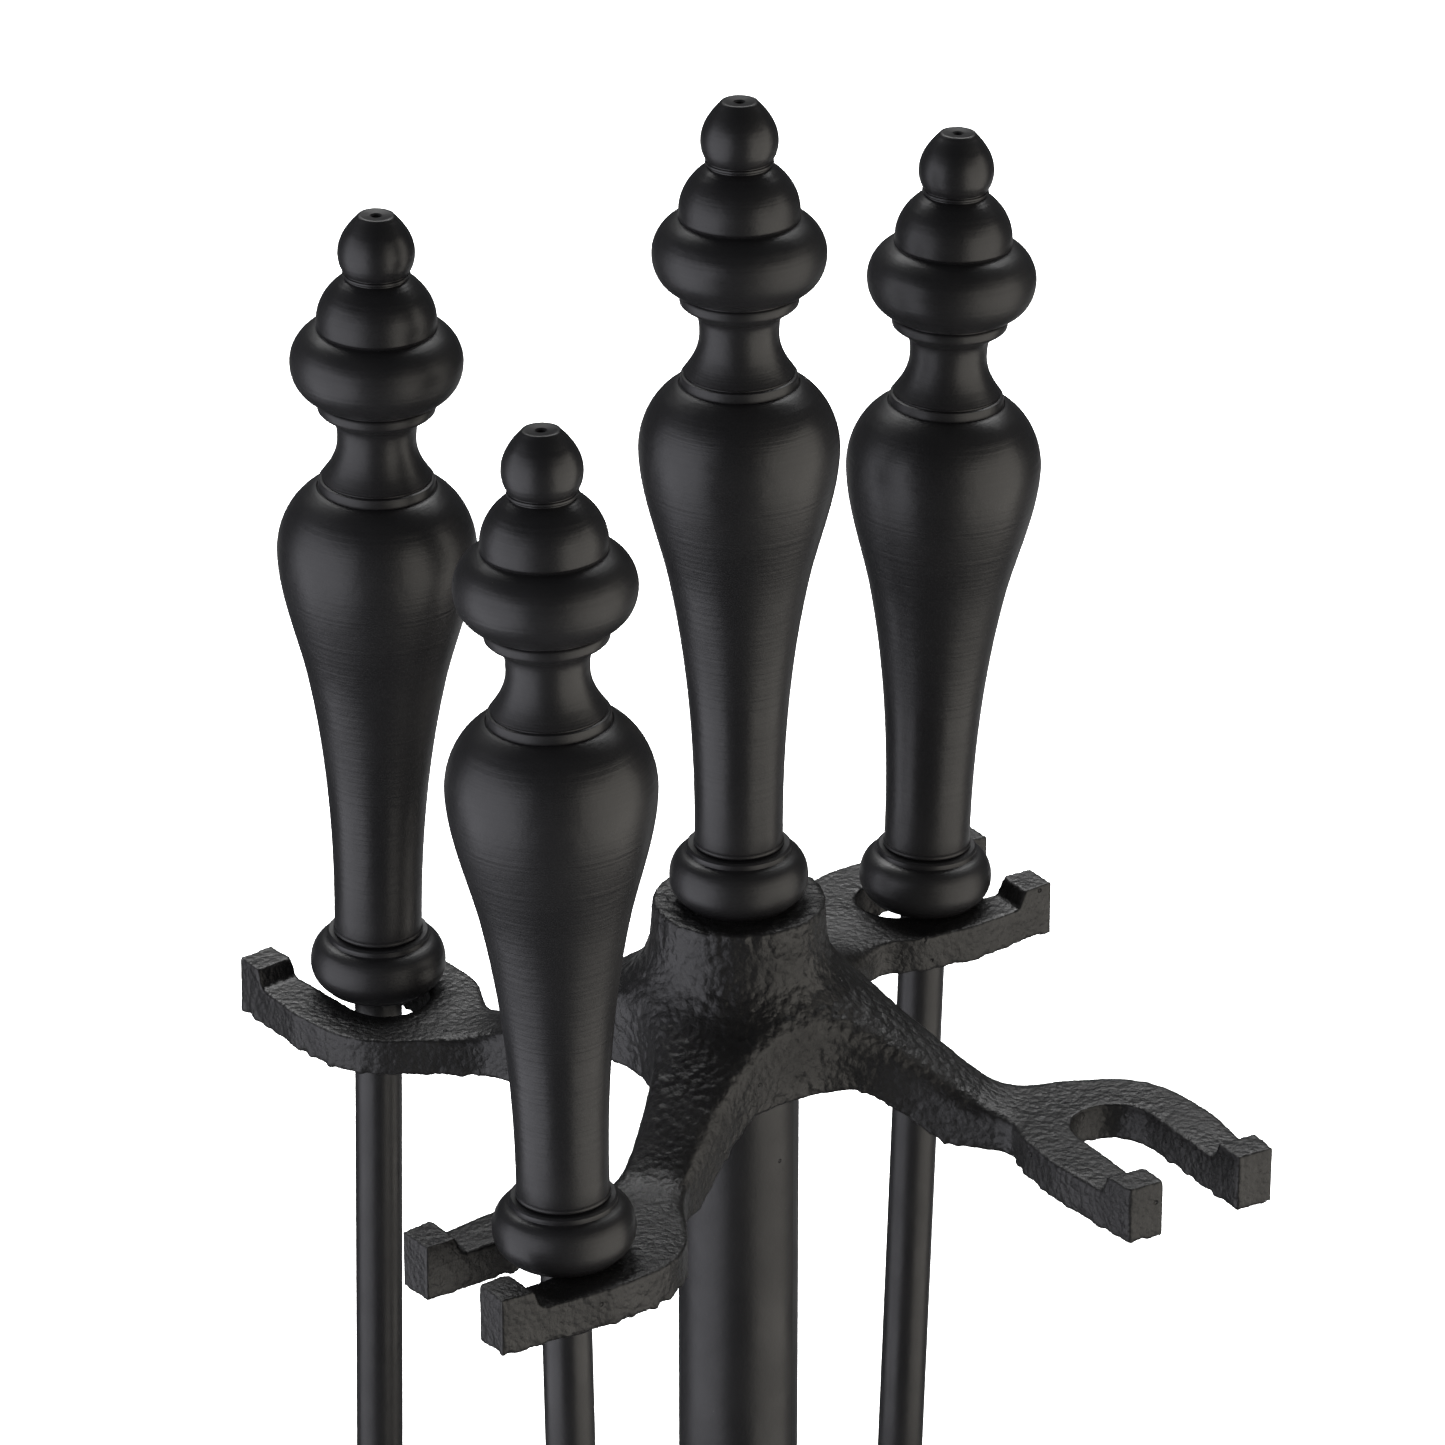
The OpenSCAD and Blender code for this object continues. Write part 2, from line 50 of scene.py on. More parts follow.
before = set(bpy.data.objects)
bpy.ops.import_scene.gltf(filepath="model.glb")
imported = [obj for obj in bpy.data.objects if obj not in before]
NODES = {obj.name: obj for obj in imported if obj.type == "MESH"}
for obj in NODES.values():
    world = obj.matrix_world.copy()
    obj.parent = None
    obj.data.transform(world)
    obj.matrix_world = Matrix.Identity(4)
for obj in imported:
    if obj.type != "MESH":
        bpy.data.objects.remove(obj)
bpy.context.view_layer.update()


# ---- mesh helpers -------------------------------------------------------------------
def arc(centre, r, start, end, n):
    """Points of an arc about centre in n steps, from angle start to angle end, in degrees."""
    angles = [math.radians(start + (end - start) * i / n) for i in range(n + 1)]
    return [(centre[0] + r * math.cos(t), centre[1] + r * math.sin(t)) for t in angles]


def curve(p, q, r, s, n):
    """Points of a cubic curve in n steps, with the ends p, s and the handles q, r."""
    out = []
    for i in range(n + 1):
        t = i / n
        u = 1 - t
        weights = (u * u * u, 3 * u * u * t, 3 * u * t * t, t * t * t)
        out.append(tuple(sum(w * c[k] for w, c in zip(weights, (p, q, r, s))) for k in (0, 1)))
    return out


def tidy_outline(points):
    """The outline without points that repeat the one before."""
    out = [points[0]]
    for p in points[1:]:
        if math.dist(p, out[-1]) > SAME_POINT:
            out.append(p)
    return out


def new_object(name, data):
    """A new object in the scene: data is its mesh, camera or lamp."""
    obj = bpy.data.objects.new(name, data)
    bpy.context.scene.collection.objects.link(obj)
    return obj


def shade(obj, angle=35):
    """Smooth shading with sharp edges where faces meet at more than angle."""
    for polygon in obj.data.polygons:
        polygon.use_smooth = True
    obj.data.set_sharp_from_angle(angle=math.radians(angle))
    return obj


def mesh_from(bm, name):
    """A mesh with what bm holds. It frees bm."""
    mesh = bpy.data.meshes.new(name)
    bm.to_mesh(mesh)
    bm.free()
    return mesh


def lathe(name, outline):
    """A closed solid turned about Z from an outline of (radius, height) in millimetres.
    The outline starts and ends on the axis, or closes on itself round a bore."""
    points = tidy_outline(outline)
    closed = math.dist(points[0], points[-1]) < SAME_POINT
    if closed:
        points = points[:-1]
    angles = [2 * math.pi * k / LATHE_SIDES for k in range(LATHE_SIDES)]
    bm = bmesh.new()
    rings = []
    for r, z in points:
        if r == 0:
            rings.append([bm.verts.new((0, 0, z * MM))] * LATHE_SIDES)
            continue
        rings.append([bm.verts.new((r * MM * math.cos(t), r * MM * math.sin(t), z * MM))
                      for t in angles])
    pairs = list(zip(rings, rings[1:] + rings[:1] if closed else rings[1:]))
    for low, high in pairs:
        for k in range(LATHE_SIDES):
            j = (k + 1) % LATHE_SIDES
            corners = list(dict.fromkeys((low[k], low[j], high[j], high[k])))
            if len(corners) > 2:
                bm.faces.new(corners)
    bmesh.ops.recalc_face_normals(bm, faces=bm.faces)
    return shade(new_object(name, mesh_from(bm, name)))


def coordinates(mesh):
    """The mesh's points, one row each."""
    co = np.empty(len(mesh.vertices) * 3)
    mesh.vertices.foreach_get("co", co)
    return co.reshape(-1, 3)


def normals(mesh):
    """The direction in which the surface faces at each point."""
    no = np.empty(len(mesh.vertices) * 3)
    mesh.vertex_normals.foreach_get("vector", no)
    return no.reshape(-1, 3)


def applied(obj):
    """obj with its modifiers made part of its mesh."""
    depsgraph = bpy.context.evaluated_depsgraph_get()
    mesh = bpy.data.meshes.new_from_object(obj.evaluated_get(depsgraph))
    obj.modifiers.clear()
    obj.data = mesh
    return obj


def smoothing(obj, name, rounds):
    """A modifier that evens out the surface, in that many rounds."""
    smooth = obj.modifiers.new(name, "SMOOTH")
    smooth.factor = 0.5
    smooth.iterations = rounds
    return smooth


def skin_of(node, name, voxel, rounds):
    """A rounded, evenly meshed skin of a CAD node: remeshed at voxel metres, then smoothed."""
    obj = new_object(name, NODES[node].data.copy())
    remesh = obj.modifiers.new("even", "REMESH")
    remesh.mode = "VOXEL"
    remesh.voxel_size = voxel
    remesh.use_smooth_shade = True
    smoothing(obj, "round", rounds)
    return applied(obj)


def noise_at(co, size):
    """Smooth noise between about -1 and 1 at each point, with bumps of about size metres."""
    return np.array([noise.noise(Vector(p)) for p in co / size])


def dented(values, share):
    """Noise whose bumps are lower and whose dents are deeper by that share."""
    return values - share * np.abs(values)


def fade(values, start, end):
    """0 up to start and 1 from end on, with a straight line between. start and end are in
    millimetres, the values in metres."""
    return np.clip((values - start * MM) / ((end - start) * MM), 0, 1)


def push_out(obj, push):
    """Moves each point along its normal by push, in metres."""
    mesh = obj.data
    moved = coordinates(mesh) + normals(mesh) * push[:, None]
    mesh.vertices.foreach_set("co", moved.astype(np.float32).ravel())
    mesh.update()
    return obj


def soften(obj, weights, rounds):
    """Smooths the mesh where the weights, one for each point, are above 0."""
    group = obj.vertex_groups.new(name="soft")
    tenths = np.round(weights * 10)
    for step in range(1, 11):
        group.add(np.flatnonzero(tenths == step).tolist(), step / 10, "REPLACE")
    smoothing(obj, "soften", rounds).vertex_group = group.name
    return applied(obj)


# ---- materials: sizes, depths and radii are in metres -------------------------------
class Shader:
    """A Principled material with short calls for its nodes."""

    def __init__(self, name, colour, roughness, metallic=0.0, specular=0.5):
        self.material = bpy.data.materials.new(name)
        self.material.use_nodes = True
        self.tree = self.material.node_tree
        self.nodes = self.tree.nodes
        self.bsdf = self.nodes["Principled BSDF"]
        self.bsdf.inputs["Base Color"].default_value = (*colour, 1)
        self.bsdf.inputs["Roughness"].default_value = roughness
        self.bsdf.inputs["Metallic"].default_value = metallic
        self.bsdf.inputs["Specular IOR Level"].default_value = specular
        self.place = self.nodes.new("ShaderNodeTexCoord").outputs["Object"]
        self.last_bump = None

    def link(self, output, socket):
        self.tree.links.new(output, socket)

    def scaled(self, size, stretch=(1, 1, 1)):
        """The place on the object, counted in steps of size metres that are stretched along
        the axes."""
        mapping = self.nodes.new("ShaderNodeMapping")
        mapping.inputs["Scale"].default_value = [1 / (size * s) for s in stretch]
        self.link(self.place, mapping.inputs["Vector"])
        return mapping.outputs["Vector"]

    def noise(self, size, detail=3.0, rough=0.55, stretch=(1, 1, 1)):
        """Noise with features of about size metres, stretched along the axes."""
        texture = self.nodes.new("ShaderNodeTexNoise")
        texture.inputs["Scale"].default_value = 1.0
        texture.inputs["Detail"].default_value = detail
        texture.inputs["Roughness"].default_value = rough
        self.link(self.scaled(size, stretch), texture.inputs["Vector"])
        return texture.outputs["Fac"]

    def rings(self, size, detail):
        """Noise that changes with height only, as a lathe leaves it."""
        split = self.nodes.new("ShaderNodeSeparateXYZ")
        self.link(self.place, split.inputs["Vector"])
        texture = self.nodes.new("ShaderNodeTexNoise")
        texture.noise_dimensions = "1D"
        texture.inputs["Scale"].default_value = 1 / size
        texture.inputs["Detail"].default_value = detail
        self.link(split.outputs["Z"], texture.inputs["W"])
        return texture.outputs["Fac"]

    def cells(self, size):
        """Irregular cells of about size metres."""
        texture = self.nodes.new("ShaderNodeTexVoronoi")
        texture.inputs["Scale"].default_value = 1.0
        self.link(self.scaled(size), texture.inputs["Vector"])
        return texture

    def ramp(self, value, low, high, out_low, out_high):
        """A smooth step from out_low to out_high while value goes from low to high."""
        node = self.nodes.new("ShaderNodeMapRange")
        node.interpolation_type = "SMOOTHSTEP"
        for key, number in zip(("From Min", "From Max", "To Min", "To Max"),
                               (low, high, out_low, out_high)):
            node.inputs[key].default_value = number
        self.link(value, node.inputs["Value"])
        return node.outputs["Result"]

    def math(self, operation, a, b):
        node = self.nodes.new("ShaderNodeMath")
        node.operation = operation
        for socket, value in zip(node.inputs, (a, b)):
            if isinstance(value, (int, float)):
                socket.default_value = value
            else:
                self.link(value, socket)
        return node.outputs["Value"]

    def spots(self, size, radius, share):
        """1 at sparse round spots of the given radius, 0 elsewhere. share is the part of the
        cells of that size that hold a spot."""
        texture = self.cells(size)
        near = self.ramp(texture.outputs["Distance"], 0.35 * radius / size, radius / size, 1, 0)
        split = self.nodes.new("ShaderNodeSeparateColor")
        self.link(texture.outputs["Color"], split.inputs["Color"])
        chosen = self.math("LESS_THAN", split.outputs["Red"], share)
        return self.math("MULTIPLY", near, chosen)

    def bump(self, height, depth):
        """Adds a bump layer whose height of 1 is depth metres."""
        node = self.nodes.new("ShaderNodeBump")
        node.inputs["Distance"].default_value = depth
        self.link(height, node.inputs["Height"])
        if self.last_bump:
            self.link(self.last_bump, node.inputs["Normal"])
        self.last_bump = node.outputs["Normal"]
        self.link(self.last_bump, self.bsdf.inputs["Normal"])

    def colour_from(self, value, dark, light):
        """The base colour goes from dark to light as value goes from 0 to 1."""
        node = self.nodes.new("ShaderNodeMix")
        node.data_type = "RGBA"
        node.inputs["A"].default_value = (*dark, 1)
        node.inputs["B"].default_value = (*light, 1)
        self.link(value, node.inputs["Factor"])
        self.link(node.outputs["Result"], self.bsdf.inputs["Base Color"])

    def roughness_from(self, value, low, high):
        """The roughness goes from low to high over the middle of the noise."""
        self.link(self.ramp(value, 0.3, 0.7, low, high), self.bsdf.inputs["Roughness"])


def satin_paint(name, turned):
    """Satin black paint: a little dust, fine pits and, on turned metal, faint tool rings."""
    s = Shader(name, (0.010, 0.010, 0.011), 0.40)
    s.roughness_from(s.noise(0.022, 3), 0.34, 0.46)
    dust = s.spots(size=0.0040, radius=0.00017, share=0.14)
    tone = s.math("ADD", s.math("MULTIPLY", s.noise(0.03, 4), 0.10), dust)
    s.colour_from(tone, (0.0085, 0.0085, 0.0095), (0.045, 0.043, 0.041))
    if turned:
        s.bump(s.rings(0.0010, 3), 0.000045)
    s.bump(s.noise(0.0009, 2), 0.000028)
    s.bump(s.noise(0.009, 2), 0.00016)
    s.bump(s.spots(size=0.010, radius=0.00046, share=0.20), -0.00035)
    return s.material


def cast_paint(name, grain):
    """Black paint over a sand casting: grains, pits and a slightly uneven gloss. grain is the
    depth of the grains and pits, 1 for the coarsest casting."""
    s = Shader(name, (0.010, 0.010, 0.011), 0.4, specular=0.46)
    s.roughness_from(s.noise(0.012, 4), 0.32, 0.46)
    s.colour_from(s.noise(0.004, 5), (0.006, 0.006, 0.0065), (0.015, 0.0147, 0.0143))
    s.bump(s.cells(0.0014).outputs["Distance"], -0.00015 * grain)
    s.bump(s.noise(0.0020, 4, 0.6), 0.00015 * grain)
    s.bump(s.noise(0.0007, 3, 0.6), 0.00014 * grain)
    s.bump(s.spots(size=0.0052, radius=0.0006, share=0.25), -0.0003 * grain)
    return s.material


def zinc(name):
    """Dull zinc plating with soft patches."""
    s = Shader(name, (0.5, 0.5, 0.52), 0.35, metallic=1.0)
    s.roughness_from(s.noise(0.003, 3), 0.28, 0.5)
    s.colour_from(s.noise(0.006, 4), (0.36, 0.36, 0.37), (0.58, 0.58, 0.56))
    s.bump(s.noise(0.0008, 2), 0.00002)
    return s.material


def rubber(name):
    """Matt black rubber."""
    s = Shader(name, (0.03, 0.03, 0.03), 0.8, specular=0.3)
    s.colour_from(s.noise(0.002, 4), (0.022, 0.022, 0.022), (0.045, 0.044, 0.043))
    s.roughness_from(s.noise(0.001, 2), 0.72, 0.9)
    s.bump(s.noise(0.0006, 2), 0.00006)
    return s.material


def painted_wood(name):
    """Thin black paint with the grain of the wood, along Z, showing through."""
    s = Shader(name, (0.012, 0.011, 0.011), 0.45)
    grain = s.noise(0.0016, 4, 0.6, stretch=(1, 1, 14))
    s.colour_from(grain, (0.009, 0.0085, 0.008), (0.021, 0.020, 0.019))
    s.roughness_from(s.noise(0.006, 3), 0.40, 0.55)
    s.bump(grain, 0.00010)
    return s.material


def bristle(name):
    """Dark brown fibre with fine streaks along Z."""
    s = Shader(name, (0.02, 0.018, 0.016), 0.5)
    fibre = s.noise(0.0012, 2, 0.5, stretch=(1, 1, 40))
    s.colour_from(fibre, (0.010, 0.009, 0.008), (0.040, 0.035, 0.030))
    s.roughness_from(s.noise(0.004, 2), 0.38, 0.62)
    s.bump(s.noise(0.0004, 2, 0.5, stretch=(1, 1, 10)), 0.00003)
    return s.material


SATIN = satin_paint("satin_paint", turned=True)
SMOOTH = satin_paint("satin_paint_plain", turned=False)
CAST = cast_paint("cast_paint", grain=1.0)
CAST_FINE = cast_paint("cast_paint_fine", grain=0.55)
ZINC = zinc("zinc")
RUBBER = rubber("pad_rubber")
WOOD = painted_wood("painted_wood")
BRISTLE = bristle("bristle_fibre")


def place(obj, body, slot, material, *nodes):
    """Gives a piece its material, its body and the CAD nodes that it replaces. slot is not used.
    """
    obj.data.materials.clear()
    obj.data.materials.append(material)
    if nodes:
        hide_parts(*nodes)
    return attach(obj, body)


# ---- turned handles and collars, in millimetres --------------------------------------
COLLAR_H = 12.5
BORE_R = 4.05
BORE_DEPTH = 25.0  # of the blind bore in a handle's foot
STUD_TOP = COLLAR_H + BORE_DEPTH - 1  # the stud's upper end, above the collar's lower face
END_HOLE = 0.5  # depth at the axis of the small hole in a handle's top
RIM_HEIGHT = 0.4  # the points this near to a shaft's end are its rim
FINIAL_THIN = 0.98  # the finial is a little slimmer and shorter than the handles
FINIAL_SHORT = 0.987


def handle_outline(thin=1.0, short=1.0):
    """Half outline of the turned handle, from the blind bore in its foot to its centre hole."""
    outer = (
        arc((8.8, 0.6), 0.6, -90, 60, 6)
        + curve((9.2, 1.4), (9, 26), (11.4, 45), (14.3, 59), 26)
        + curve((14.3, 59), (16.1, 68.2), (20.4, 78.5), (20.5, 88), 20)
        + curve((20.5, 88), (20.5, 94), (17.4, 99.6), (12.75, 102.1), 20)
        + [(12.35, 102.2), (12.1, 102.0), (11.95, 102.1), (11.95, 102.5)]
        + [(11.95, 103.6), (11.8, 104.1), (11.5, 104.3), (11.15, 104.3), (11.1, 104.5)]
        + curve((11.3, 104.8), (10.2, 106.3), (8.1, 109.2), (8.1, 112.8), 20)
        + curve((8.1, 112.8), (8.1, 115), (8.3, 116.6), (9.0, 117.3), 12)
        + [(9.3, 117.5), (11.6, 119.1), (12.0, 119.5), (12.1, 119.9)]
        + [(12.1, 120.9), (12.0, 121.3), (11.8, 121.5), (11.6, 121.6), (11.55, 121.8)]
        + curve((11.8, 121.95), (15.4, 122.9), (17.65, 125.9), (17.65, 130), 20)
        + curve((17.65, 130), (17.65, 133.2), (15.4, 136.4), (12.6, 137.3), 18)
        + [(12.2, 137.35), (12.05, 137.5), (12.2, 137.75), (12.3, 138.1)]
        + curve((12.25, 138.4), (12.5, 142.6), (9.9, 146.3), (6.7, 148.3), 20)
        + [(6.45, 148.4), (6.4, 148.6), (6.75, 148.75), (6.95, 149.0), (6.9, 149.35)]
        + [(6.6, 149.5)]
        + curve((6.6, 149.65), (7.3, 150.4), (7.85, 151.9), (7.85, 153.6), 10)
        + curve((7.85, 153.6), (7.85, 156.7), (6, 159.3), (3.95, 161.4), 16)
        + [(3.75, 161.65), (3.4, 161.8), (3.0, 161.75), (1.2, 161.6), (0.9, 161.3)]
        + [(0.8, 160.3)]
    )
    body = [(r * thin, z * short) for r, z in outer]
    return (
        [(0, BORE_DEPTH), (BORE_R, BORE_DEPTH), (BORE_R, 0)]
        + body
        + [(0, body[-1][1] - END_HOLE)]
    )


def collar_outline():
    """Closed half outline of the bead collar, round its bore."""
    return (
        [(BORE_R, 0), (11.3, 0), (11.5, 0.1), (11.6, 0.3)]
        + curve((11.7, 0.5), (13, 1.3), (14.2, 2.9), (14.2, 5.2), 14)
        + curve((14.2, 5.2), (14.2, 8.3), (12.8, 10.3), (11, 10.9), 14)
        + [(10.7, 11.1), (10.7, COLLAR_H - 0.4), (10.3, COLLAR_H), (BORE_R, COLLAR_H)]
        + [(BORE_R, 0)]
    )


def ring_centre(node, top):
    """Centre of the round rim at the top or the bottom of a CAD shaft."""
    co = coordinates(NODES[node].data)
    z = co[:, 2]
    rim = co[z > z.max() - RIM_HEIGHT * MM] if top else co[z < z.min() + RIM_HEIGHT * MM]
    return Vector((rim.min(0) + rim.max(0)) / 2)


def tool_frame(tool):
    """Matrix of a tool's own frame: the collar's lower face at the origin, +Z up its shaft."""
    high = ring_centre(tool + "_shaft", True)
    low = ring_centre(tool + "_shaft", False)
    axis = (high - low).normalized()
    turn = Vector((0, 0, 1)).rotation_difference(axis).to_matrix().to_4x4()
    return Matrix.Translation(high - axis * STUD_TOP * MM) @ turn


FRAMES = {tool: tool_frame(tool) for tool in TOOLS}
FRAMES["finial"] = Matrix.Translation((0, 0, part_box("finial_collar")[0].z))


def turned_pair(tool, body):
    """The bead collar and the turned handle above it."""
    at = FRAMES[tool]
    collar = lathe(tool + "_collar_turned", collar_outline())
    collar.matrix_world = at
    place(collar, body, "satin_black", SATIN, tool + "_collar")
    scale = (FINIAL_THIN, FINIAL_SHORT) if tool == "finial" else ()
    handle = lathe(tool + "_handle_turned", handle_outline(*scale))
    handle.matrix_world = at @ Matrix.Translation((0, 0, COLLAR_H * MM))
    place(handle, body, "satin_black", SATIN, tool + "_handle")


for tool in TOOLS:
    turned_pair(tool, tool)
turned_pair("finial", "stand")


# ---- castings, in millimetres --------------------------------------------------------
YOKE_VOXEL = 0.6
HEAD_VOXEL = 0.55
SKIN_ROUNDS = 3  # rounds of smoothing that take the marks of the voxels away
WEB_ROUNDS = 160  # rounds that make the hub flow into its arms

# Each pair is where a fade starts and where it ends
WEB_ABOVE_EDGE = (4, 9)  # above the webs' lower edge, which stays crisp
WEB_OFF_POST = (19, 22)  # from the post's axis, outside the socket
WEB_INTO_ARM = (52, 66)  # from the post's axis, where the arms are plain
WEB_BELOW_RIM = (8, 14)  # below the yoke's top, which keeps its shape
HUB_TO_ARM = (30, 55)  # from the post's axis, from the coarse hub to the finer arms
LOWER_EDGE = (0, 2.2)  # above the yoke's lowest point, where the edge is ragged

EDGE_DROP = 34  # next to the hub, the webs' lower edge lies this far below the yoke's top
EDGE_FALLS_FROM = 29  # radius where that edge starts to go down
EDGE_RUN = 21  # the distance outwards over which it goes down
EDGE_SLOPE = 0.6  # how far it goes down for each millimetre outwards
PRONG_END = 98  # from this radius out, the prongs' end faces are calmer than the rest
CALM = 0.25  # the share of the roughness that they keep

WAVES = (0.30, 15)  # height and size of the slow waves
GRAINS = (0.07, 0.24, 1.9)  # height on the arms and on the hub, and size
FINE_GRAINS = (0.06, 0.15, 1.3)
RAGGED = 0.75  # the most by which the lower edge stands out


def web_weights(co):
    """How far each point of the yoke takes part in the smoothing: fully on the flanks between
    the hub and the arms, and not at all elsewhere."""
    radius = np.hypot(co[:, 0], co[:, 1])
    below_top = co[:, 2].max() - co[:, 2]
    run = np.clip(radius - EDGE_FALLS_FROM * MM, 0, EDGE_RUN * MM)
    above_edge = EDGE_DROP * MM + run * EDGE_SLOPE - below_top
    return (
        fade(above_edge, *WEB_ABOVE_EDGE)
        * fade(radius, *WEB_OFF_POST)
        * (1 - fade(radius, *WEB_INTO_ARM))
        * fade(below_top, *WEB_BELOW_RIM)
    )


def cast_surface(co, no):
    """How far each point of the yoke stands out: slow waves, grains that are coarse on the hub,
    a ragged lower edge, and calmer faces at the ends of the prongs."""
    radius = np.hypot(co[:, 0], co[:, 1])
    hub = 1 - fade(radius, *HUB_TO_ARM)
    height, size = WAVES
    push = height * noise_at(co, size * MM)
    on_arm, on_hub, size = GRAINS
    push += (on_arm + (on_hub - on_arm) * hub) * dented(noise_at(co, size * MM), 0.5)
    on_arm, on_hub, size = FINE_GRAINS
    push += (on_arm + (on_hub - on_arm) * hub) * noise_at(co, size * MM)
    low = 1 - fade(co[:, 2] - co[:, 2].min(), *LOWER_EDGE)
    upright = np.abs(no[:, 2]) < 0.9
    plan = co * (1, 1, 0)
    ragged = np.clip(noise_at(plan, 2.4 * MM) + 0.4 * noise_at(plan, 6 * MM), -0.3, 1)
    push += RAGGED * low * ragged * upright
    facing_out = (co[:, 0] * no[:, 0] + co[:, 1] * no[:, 1]) / radius > 0.7
    return push * MM * np.where((radius > PRONG_END * MM) & facing_out, CALM, 1.0)


def cast_yoke():
    """The yoke's skin: the CAD shape with flowing webs and a sand-cast surface."""
    skin = skin_of("yoke", "yoke_casting", YOKE_VOXEL * MM, SKIN_ROUNDS)
    soften(skin, web_weights(coordinates(skin.data)), WEB_ROUNDS)
    push_out(skin, cast_surface(coordinates(skin.data), normals(skin.data)))
    place(skin, "stand", "cast_black", CAST, "yoke")


def forged_head():
    """The poker's head: the CAD shape with hammer dents and fine scale."""
    skin = skin_of("poker_head", "poker_head_forging", HEAD_VOXEL * MM, SKIN_ROUNDS)
    co = coordinates(skin.data)
    push = 0.22 * dented(noise_at(co, 7 * MM), 0.4) + 0.07 * noise_at(co, 2 * MM)
    push_out(skin, push * MM)
    place(skin, "poker", "cast_black", CAST_FINE, "poker_head")


cast_yoke()
forged_head()


# ---- CAD nodes that keep their shape --------------------------------------------------
BEVEL_ANGLE = 40  # degrees; edges that turn by more are rounded

# Each node's material, and the width of its rounded edges in millimetres
KEPT = {
    "base_plate": (CAST_FINE, 0.4), "foot_pads": (RUBBER, 0.5), "base_ferrule": (SATIN, 0.2),
    "post_tube": (SMOOTH, 0.2), "tie_rod": (ZINC, 0.3), "base_washer": (ZINC, 0.2),
    "base_nut": (ZINC, 0.4), "poker_shaft": (SMOOTH, 0.4), "shovel_shaft": (SMOOTH, 0.4),
    "shovel_socket": (SATIN, 0.3), "shovel_pan": (SMOOTH, 0.5), "shovel_rivets": (SMOOTH, 0),
    "brush_shaft": (SMOOTH, 0.4), "brush_ferrule": (SATIN, 0.2), "brush_core": (WOOD, 0.3),
}


def finish_node(node, material, edge):
    """Material and small rounded edges for a CAD node that stays."""
    obj = NODES[node]
    obj.data.materials.clear()
    obj.data.materials.append(material)
    if edge:
        bevel = obj.modifiers.new("edges", "BEVEL")
        bevel.width = edge * MM
        bevel.segments = 3
        bevel.limit_method = "ANGLE"
        bevel.angle_limit = math.radians(BEVEL_ANGLE)


for node, (material, edge) in KEPT.items():
    finish_node(node, material, edge)


# ---- brush ---------------------------------------------------------------------------
BRISTLES = 1700
BRISTLE_R = 0.42 * MM
TAPER = 0.45  # a fibre loses this share of its radius by its tip
ROOT_R = 16.4 * MM  # of the bundle, where it leaves the block
SIDE_MARGIN = 2.3 * MM  # between the tips and the side of the CAD's bundle
TIP_MARGIN = 1.2 * MM  # between the tips and its lower end
WAVE = 1.1 * MM  # the most by which a fibre bends sideways
STEPS = 8  # straight pieces in a fibre
SEED = 7
GOLDEN_TURN = 2.399963  # radians from one root to the next, which spreads them evenly
THIRDS = (0.0, 2.094, 4.189)  # radians of a fibre's three sides


def strand(bm, path, r):
    """A thin three-sided fibre along path, closed at both ends and finer at its tip."""
    rings = []
    for i, p in enumerate(path):
        size = r * (1 - TAPER * i / (len(path) - 1))
        rings.append([bm.verts.new((p.x + size * math.cos(t), p.y + size * math.sin(t), p.z))
                      for t in THIRDS])
    for low, high in zip(rings, rings[1:]):
        for k in range(3):
            j = (k + 1) % 3
            bm.faces.new((low[k], high[k], high[j], low[j]))
    bm.faces.new(rings[0])
    bm.faces.new(rings[-1][::-1])


def bristle_bundle():
    """Stiff fibres that leave the block close together and spread towards their tips."""
    rng = random.Random(SEED)
    lo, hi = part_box("brush_bristles")
    at = FRAMES["brush"]
    axis = at.to_3x3() @ Vector((0, 0, 1))
    origin = at.translation
    tip_z = (lo.z - origin.z) / axis.z + TIP_MARGIN
    root_z = (hi.z - origin.z) / axis.z
    length = root_z - tip_z
    tip_r = (hi.x - lo.x) / 2 - SIDE_MARGIN
    bm = bmesh.new()
    for n in range(BRISTLES):
        share = math.sqrt((n + 0.5) / BRISTLES)
        turn = n * GOLDEN_TURN + rng.uniform(-0.1, 0.1)
        root = ROOT_R * share
        tip = min(1.0, share * rng.uniform(0.93, 1.04)) * tip_r
        end = length * (1 - 0.035 * rng.random() - 0.05 * share**4 * rng.random())
        wave = rng.uniform(-WAVE, WAVE)
        path = []
        for i in range(STEPS + 1):
            t = i / STEPS
            spread = root + (tip - root) * (t**1.35)
            side = wave * math.sin(math.pi * t)
            a = turn + side / max(spread, 4 * MM)
            path.append(Vector((spread * math.cos(a), spread * math.sin(a), root_z - end * t)))
        strand(bm, path, BRISTLE_R)
    obj = shade(new_object("brush_fibres", mesh_from(bm, "brush_fibres")), 80)
    obj.matrix_world = at
    place(obj, "brush", "bristle", BRISTLE, "brush_bristles")


bristle_bundle()


# ---- floor, light and camera ---------------------------------------------------------
FLOOR_HALF = 7  # metres from the middle of the floor to its side
FLOOR_GLOW = 0.7  # strength of the floor's own light
SIDE_LAMP = 1.5  # metres along each side of the two large lamps
SIDE_LAMP_AWAY = 1.0  # metres from the post
SIDE_LAMP_HEIGHT = 0.45  # where the lamps stand and where they point
LEFT_TINT = (0.935, 0.93, 1.0)
RIGHT_TINT = (1.0, 0.945, 0.86)
BEHIND = VIEW_AZIMUTH + 180
BACKDROP_AWAY = 1.75  # metres from the post to the part of the floor that is lit behind it


def view_direction(azimuth, elevation):
    """Unit vector from the object towards a viewer."""
    a, e = math.radians(azimuth), math.radians(elevation)
    return Vector((math.sin(a) * math.cos(e), -math.cos(a) * math.cos(e), math.sin(e)))


